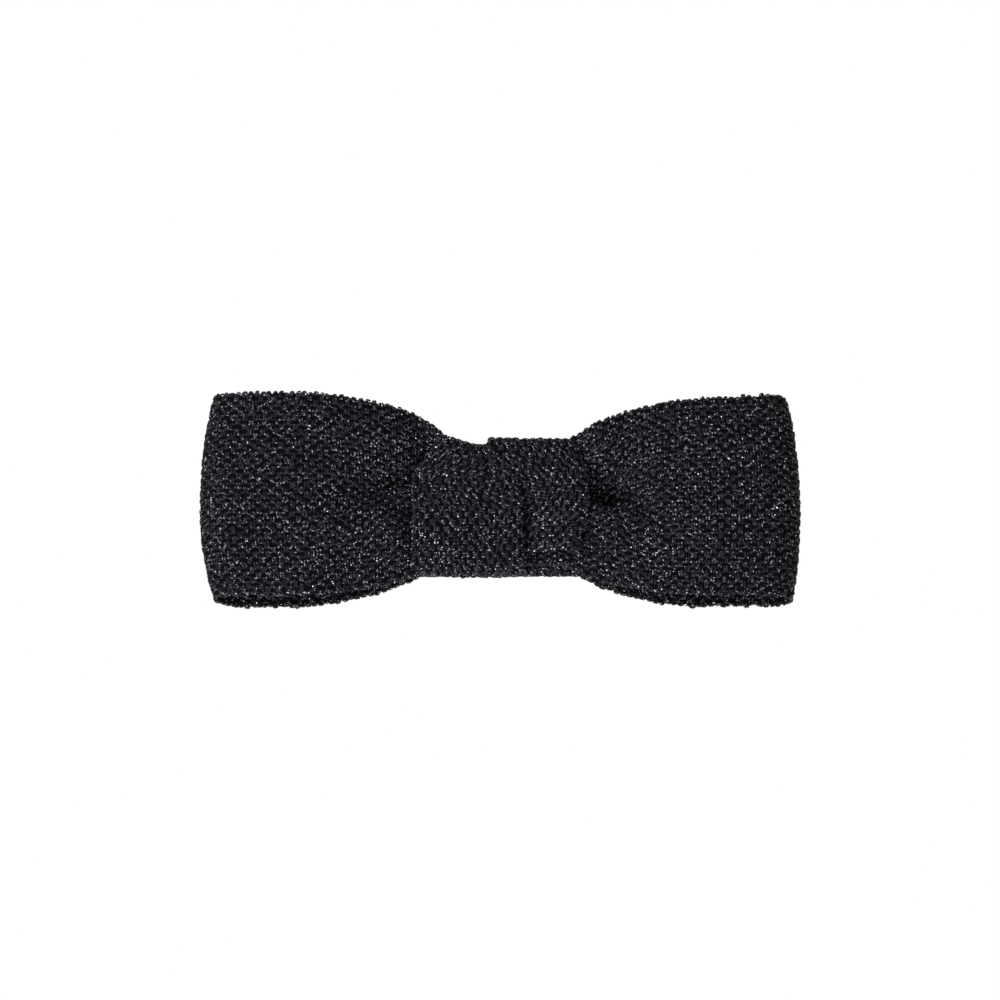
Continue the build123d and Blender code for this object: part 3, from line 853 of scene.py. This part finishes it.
class HAIRBOW_OT_sewing(bpy.types.Operator):
    """Lay in the gathering thread, both seams and the lashings of the clip"""

    bl_idname = "hairbow.sewing"
    bl_label = "Sewing"

    def execute(self, context):
        sewing = context.scene.hairbow_sewing
        thread = spun_polyester("spun_polyester_thread", sewing.thread_colour)
        diameter = sewing.thread_diameter / MM
        self.gather(sewing, diameter, thread)
        self.end_seam(sewing, diameter, thread)
        self.knot_seam(sewing, diameter, thread)
        self.lashings(sewing, diameter, thread)
        return {"FINISHED"}

    def gather(self, sewing, diameter, thread):
        low, high = box_mm("gather_thread")
        mid, half = (low + high) / 2, (high - low) / 2 - diameter / 2
        turns = []
        loop = rounded_loop(half[1], half[2], diameter * 1.2)
        for turn, x in enumerate(spread(low[0], high[0], diameter, sewing.gather_turns)):
            path = [(x + 0.12 * math.sin(3 * z + turn), mid[1] + y, mid[2] + z) for y, z in loop]
            turns.append(plied_thread(path + path[:1], diameter, closed=True))
        seated(*joined(turns), "gathering_turns", thread, "thread", "gather_thread")

    def end_seam(self, sewing, diameter, thread):
        low, high = box_mm("band_end_seam")
        y = (low[1] + high[1]) / 2
        stitches = []
        for n in range(sewing.seam_stitches):
            share = (n + 0.5) / sewing.seam_stitches
            z = low[2] + share * (high[2] - low[2])
            path = [(low[0] + 0.1, y - 0.9, z - SEAM_LEAN), (low[0] + 0.35, y - 0.1, z - SEAM_LEAN * 0.8),
                    ((low[0] + high[0]) / 2, y, z), (high[0] - 0.35, y - 0.1, z + SEAM_LEAN * 0.8),
                    (high[0] - 0.1, y - 0.9, z + SEAM_LEAN)]
            stitches.append(plied_thread(path, diameter))
        seated(*joined(stitches), "end_seam_whipping", thread, "thread", "band_end_seam")

    def knot_seam(self, sewing, diameter, thread):
        low, high = box_mm("knot_closing_stitches")
        y = (low[1] + high[1]) / 2
        stitches = []
        for n, x in enumerate(spread(low[0], high[0], diameter, sewing.knot_stitches)):
            lean = 0.3 * math.sin(2.1 * n + 0.5) + 0.35
            path = [(x - lean, y - 0.8, high[2]), (x - lean * 0.8, y - 0.05, high[2] - 0.35),
                    (x, y + 0.05, (low[2] + high[2]) / 2), (x + lean * 0.8, y - 0.05, low[2] + 0.35),
                    (x + lean, y - 0.8, low[2])]
            stitches.append(plied_thread(path, diameter))
        seated(*joined(stitches), "knot_seam_stitches", thread, "thread", "knot_closing_stitches")

    def lashings(self, sewing, diameter, thread):
        low, high = box_mm("clip_stitches")
        step = diameter * 1.6
        reach = high[2] - diameter / 2
        front, back = low[1] - 0.3, high[1] - diameter / 2
        stitches = []
        for turn in range(sewing.lashing_turns):
            for x in (low[0] + diameter / 2 + turn * step, high[0] - diameter / 2 - turn * step):
                lean = 0.25 * math.sin(1.7 * turn + x)
                path = [(x - lean, front, reach), (x - lean, back - 0.45, reach),
                        (x - lean * 0.9, back - 0.12, reach - 0.15), (x - lean * 0.7, back, reach - 0.5),
                        (x, back, 0.0), (x + lean * 0.7, back, 0.5 - reach),
                        (x + lean * 0.9, back - 0.12, 0.15 - reach), (x + lean, back - 0.45, -reach),
                        (x + lean, front, -reach)]
                stitches.append(plied_thread(path, diameter))
        seated(*joined(stitches), "clip_lashings", thread, "thread", "clip_stitches")


FELT_RINGS, FELT_STEPS = 18, 160
FELT_NAP = 0.04  # room that the fuzz takes of the patch's half-thickness


class HAIRBOW_OT_backing_felt(bpy.types.Operator):
    """Cut the felt patch between the knot and the clip"""

    bl_idname = "hairbow.backing_felt"
    bl_label = "Backing felt"

    def execute(self, context):
        sewing = context.scene.hairbow_sewing
        low, high = box_mm("backing_felt")
        mid, half = (low + high) / 2, (high - low) / 2
        face, steps = half[1] - FELT_NAP, FELT_STEPS
        rng = np.random.default_rng(5)
        turn = np.arange(steps) * 2 * math.pi / steps
        power = 2 / 5.0
        edge_x, edge_z = half[0] * squared(np.cos(turn), power), half[2] * squared(np.sin(turn), power)
        ragged = 1 + 0.006 * rng.normal(size=steps)
        shares = [ring / FELT_RINGS for ring in range(1, FELT_RINGS)]
        rim = [(0.985, 0.92), (1.0, 0.55), (1.0, -0.55), (0.985, -0.92)]
        profile = [(share, 1.0) for share in shares] + rim + [(share, -1.0) for share in reversed(shares)]
        points = []
        for share, level in profile:
            fuzz = 0.03 * rng.normal(size=steps)
            rough = ragged if share > 0.9 else 1.0
            points.append(np.stack([mid[0] + edge_x * share * rough, mid[1] + level * face + fuzz,
                                    mid[2] + edge_z * share * rough], -1))
        # A point in the middle of each face closes it.
        first = len(profile) * steps
        points = np.concatenate([*points, mid + np.array([[0.0, face, 0.0], [0.0, -face, 0.0]])])
        j = np.arange(0, steps, 2)
        cap = np.stack([np.full_like(j, first), (j + 2) % steps, j + 1, j], -1)
        tail = first - steps
        end = np.stack([np.full_like(j, first + 1), tail + j, tail + j + 1, tail + (j + 2) % steps], -1)
        faces = np.concatenate([grid_faces(len(profile), steps)[:, TURNED_OVER], cap, end])
        material = pressed_felt("pressed_felt", sewing.felt_colour)
        made = seated(points, faces, "felt_patch", material, "felt", "backing_felt")
        return {"FINISHED"}


EAR_BASE = 3.6  # half the length of the hinge ears where they meet the arm
RIBBON_CROSS = 22  # points across each face of the ribbon
RIB_STEPS = 6  # points along each rib
RIB_HEIGHT, RIB_OVERHANG = 0.06, 0.1  # how far a rib stands out of the face, and past the edge


class HAIRBOW_OT_clip_ribbon(bpy.types.Operator):
    """Line the clip's upper arm with grosgrain ribbon"""

    bl_idname = "hairbow.clip_ribbon"
    bl_label = "Clip ribbon"

    def execute(self, context):
        sewing = context.scene.hairbow_sewing
        low, high = box_mm("clip_ribbon")
        arm_low, arm_high = box_mm("clip_upper_arm")
        plate = arm_low[1]
        thick = plate - low[1]
        inner = high[1] - thick
        pin_low, pin_high = box_mm("hinge_pin")
        stop = (pin_low[0] + pin_high[0]) / 2 - (EAR_BASE + 4 * thick)
        nose = low[0] + thick / 2
        outside, inside = plate - thick / 2, inner + thick / 2
        path = [(arm_high[0], outside, 0), (nose + 0.5, outside, 0), (nose + 0.12, outside + 0.1, 0),
                (nose, outside + 0.45, 0), (nose, inside - 0.45, 0), (nose + 0.12, inside - 0.1, 0),
                (nose + 0.5, inside, 0), (stop, inside, 0)]
        pitch = sewing.rib_pitch / MM
        path = resampled(path, pitch / RIB_STEPS)
        steps = len(path)
        ahead = unit(np.gradient(path, axis=0))
        out = np.stack([-ahead[:, 1], ahead[:, 0], np.zeros(steps)], -1)
        rib = 0.5 + 0.5 * np.cos(np.arange(steps) / RIB_STEPS * 2 * math.pi)
        half = thick / 2 - 0.07 + RIB_HEIGHT * rib
        reach = (high[2] - low[2]) / 2
        share = np.linspace(-1, 1, RIBBON_CROSS)
        z = (reach - 0.12 + RIB_OVERHANG * rib)[:, None] * share
        edge = np.sqrt(np.clip(1 - np.abs(share) ** 14, 0.12, 1))
        lift = out[:, None, :] * (half[:, None] * edge)[..., None]
        one, two = path[:, None, :] + lift, path[:, None, :] - lift
        one[..., 2], two[..., 2] = z, z
        loop = np.concatenate([one, two[:, ::-1]], 1)
        ring = loop.shape[1]
        ends = []
        for start, flip in ((0, False), ((steps - 1) * ring, True)):
            k = np.arange(RIBBON_CROSS - 1)
            quad = np.stack([start + k, start + k + 1, start + ring - 2 - k, start + ring - 1 - k], -1)
            ends.append(quad[:, ::-1] if flip else quad)
        faces = np.concatenate([grid_faces(steps, ring), *ends])
        material = woven_grosgrain("woven_grosgrain", sewing.ribbon_colour)
        made = seated(loop.reshape(-1, 3), faces, "ribbon_lining", material, "ribbon", "clip_ribbon")
        return {"FINISHED"}


class HAIRBOW_OT_clip_metal(bpy.types.Operator):
    """Finish the clip's arms, pin and spring"""

    bl_idname = "hairbow.clip_metal"
    bl_label = "Clip metal"

    def execute(self, context):
        metal = context.scene.hairbow_metal
        plate = plated_metal("nickel_plated_steel", metal.plate_colour, roughness=0.26, grain=0.12)
        pin = plated_metal("peened_mild_steel", metal.pin_colour, roughness=0.38, grain=0.2)
        wire = plated_metal("drawn_music_wire", metal.wire_colour, roughness=0.32, grain=0.08)
        for name, material in {"clip_upper_arm": plate, "clip_lower_arm": plate, "hinge_pin": pin}.items():
            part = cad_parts[name]
            part.data.materials.clear()
            part.data.materials.append(material)
        self.spring(wire)
        return {"FINISHED"}

    def spring(self, wire):
        """A copy of the CAD spring's mesh in the drawn-wire finish, standing in place of the CAD spring."""
        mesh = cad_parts["torsion_spring"].data.copy()
        mesh.materials.clear()
        mesh.materials.append(wire)
        made = bpy.data.objects.new("wound_spring", mesh)
        bpy.context.scene.collection.objects.link(made)
        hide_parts("torsion_spring")
        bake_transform(made)


# ---------------------------------------------------------------- studio

FLOOR_WIDTH = 12.0  # in metres, as everything in the studio is


class HAIRBOW_OT_stage(bpy.types.Operator):
    """Set up the floor, the soft lights and the camera"""

    bl_idname = "hairbow.stage"
    bl_label = "Stage"

    def execute(self, context):
        studio = context.scene.hairbow_studio
        self.surroundings(context, studio)
        self.floor(studio)
        target = Vector((0.0, MID_Y * MM, 0.0))
        self.light("key_softbox", studio.key_power, 0.25, target, Vector((-0.5, -0.5, 0.42)))
        self.light("low_softbox", studio.key_power * 0.7, 0.3, target, Vector((-0.1, -0.4, -0.48)))
        self.light("back_softbox", studio.key_power * 1.25, 1.4, target, Vector((0.3, 0.75, 0.35)))
        wash = self.light("floor_wash", studio.wash_power, FLOOR_WIDTH, target,
                          Vector((0.0, 0.0, 0.2 - studio.floor_drop)))
        wash.rotation_euler = (0.0, 0.0, 0.0)  # straight down
        self.camera(context, studio, target)
        return {"FINISHED"}

    def surroundings(self, context, studio):
        world = bpy.data.worlds.new("white_studio")
        context.scene.world = world
        world.use_nodes = True
        background = world.node_tree.nodes["Background"]
        background.inputs["Color"].default_value = (1.0, 1.0, 1.0, 1.0)
        # The paper behind is lit white, and flagged off so that it lends the bow less light than that.
        seen = node(world, "LightPath").outputs["Is Camera Ray"]
        level = node(world, "MapRange", {"Value": seen, "To Min": studio.surround, "To Max": studio.backdrop})
        world.node_tree.links.new(level.outputs[0], background.inputs["Strength"])
        context.scene.view_settings.view_transform = "Standard"

    def floor(self, studio):
        size, z = FLOOR_WIDTH / 2, -studio.floor_drop
        mesh = bpy.data.meshes.new("studio_floor")
        mesh.from_pydata([(-size, -size, z), (size, -size, z), (size, size, z), (-size, size, z)], [],
                         [(0, 1, 2, 3)])
        mesh.materials.append(studio_paint("studio_emulsion"))
        floor = bpy.data.objects.new("studio_floor", mesh)
        bpy.context.scene.collection.objects.link(floor)

    def light(self, name, power, size, target, place):
        """A square soft light at that place from the target, facing it and hidden from the camera."""
        data = bpy.data.lights.new(name, "AREA")
        data.energy, data.size = power, size
        lamp = bpy.data.objects.new(name, data)
        bpy.context.scene.collection.objects.link(lamp)
        lamp.location = target + place
        lamp.rotation_euler = (-place).to_track_quat("-Z", "Y").to_euler()
        lamp.visible_camera = False
        return lamp

    def camera(self, context, studio, target):
        data = bpy.data.cameras.new("camera")
        data.lens, data.sensor_width = 100.0, 36.0
        distance = studio.field_width * data.lens / data.sensor_width
        up, turn = studio.elevation, studio.azimuth
        way = Vector((-math.sin(turn) * math.cos(up), -math.cos(turn) * math.cos(up), math.sin(up)))
        camera = bpy.data.objects.new("camera", data)
        context.scene.collection.objects.link(camera)
        camera.location = target + way * distance
        camera.rotation_euler = (-way).to_track_quat("-Z", "Y").to_euler()
        context.scene.camera = camera


class HAIRBOW_PT_panel(bpy.types.Panel):
    """Sizes, colours and steps of the hair bow"""

    bl_idname = "HAIRBOW_PT_panel"
    bl_label = "Hair Bow"
    bl_space_type = "VIEW_3D"
    bl_region_type = "UI"
    bl_category = "Hair Bow"

    def draw(self, context):
        scene = context.scene
        for settings in (scene.hairbow_knit, scene.hairbow_sewing, scene.hairbow_metal, scene.hairbow_studio):
            box = self.layout.box()
            for name in settings.__annotations__:
                box.prop(settings, name)
        for step in STEPS:
            self.layout.operator(step.bl_idname)


SETTINGS = {
    "hairbow_knit": KnitSettings,
    "hairbow_sewing": SewingSettings,
    "hairbow_metal": MetalSettings,
    "hairbow_studio": StudioSettings,
}
STEPS = (HAIRBOW_OT_stage, HAIRBOW_OT_bow_band, HAIRBOW_OT_knot_band, HAIRBOW_OT_sewing,
         HAIRBOW_OT_backing_felt, HAIRBOW_OT_clip_ribbon, HAIRBOW_OT_clip_metal)
CLASSES = (*SETTINGS.values(), *STEPS, HAIRBOW_PT_panel)


def register():
    for cls in CLASSES:
        bpy.utils.register_class(cls)
    for name, cls in SETTINGS.items():
        setattr(bpy.types.Scene, name, PointerProperty(type=cls))


def unregister():
    for name in SETTINGS:
        delattr(bpy.types.Scene, name)
    for cls in reversed(CLASSES):
        bpy.utils.unregister_class(cls)


def main():
    register()
    bpy.ops.hairbow.stage()
    bpy.ops.hairbow.bow_band()
    bpy.ops.hairbow.knot_band()
    bpy.ops.hairbow.sewing()
    bpy.ops.hairbow.backing_felt()
    bpy.ops.hairbow.clip_ribbon()
    bpy.ops.hairbow.clip_metal()


if __name__ == "__main__":
    main()
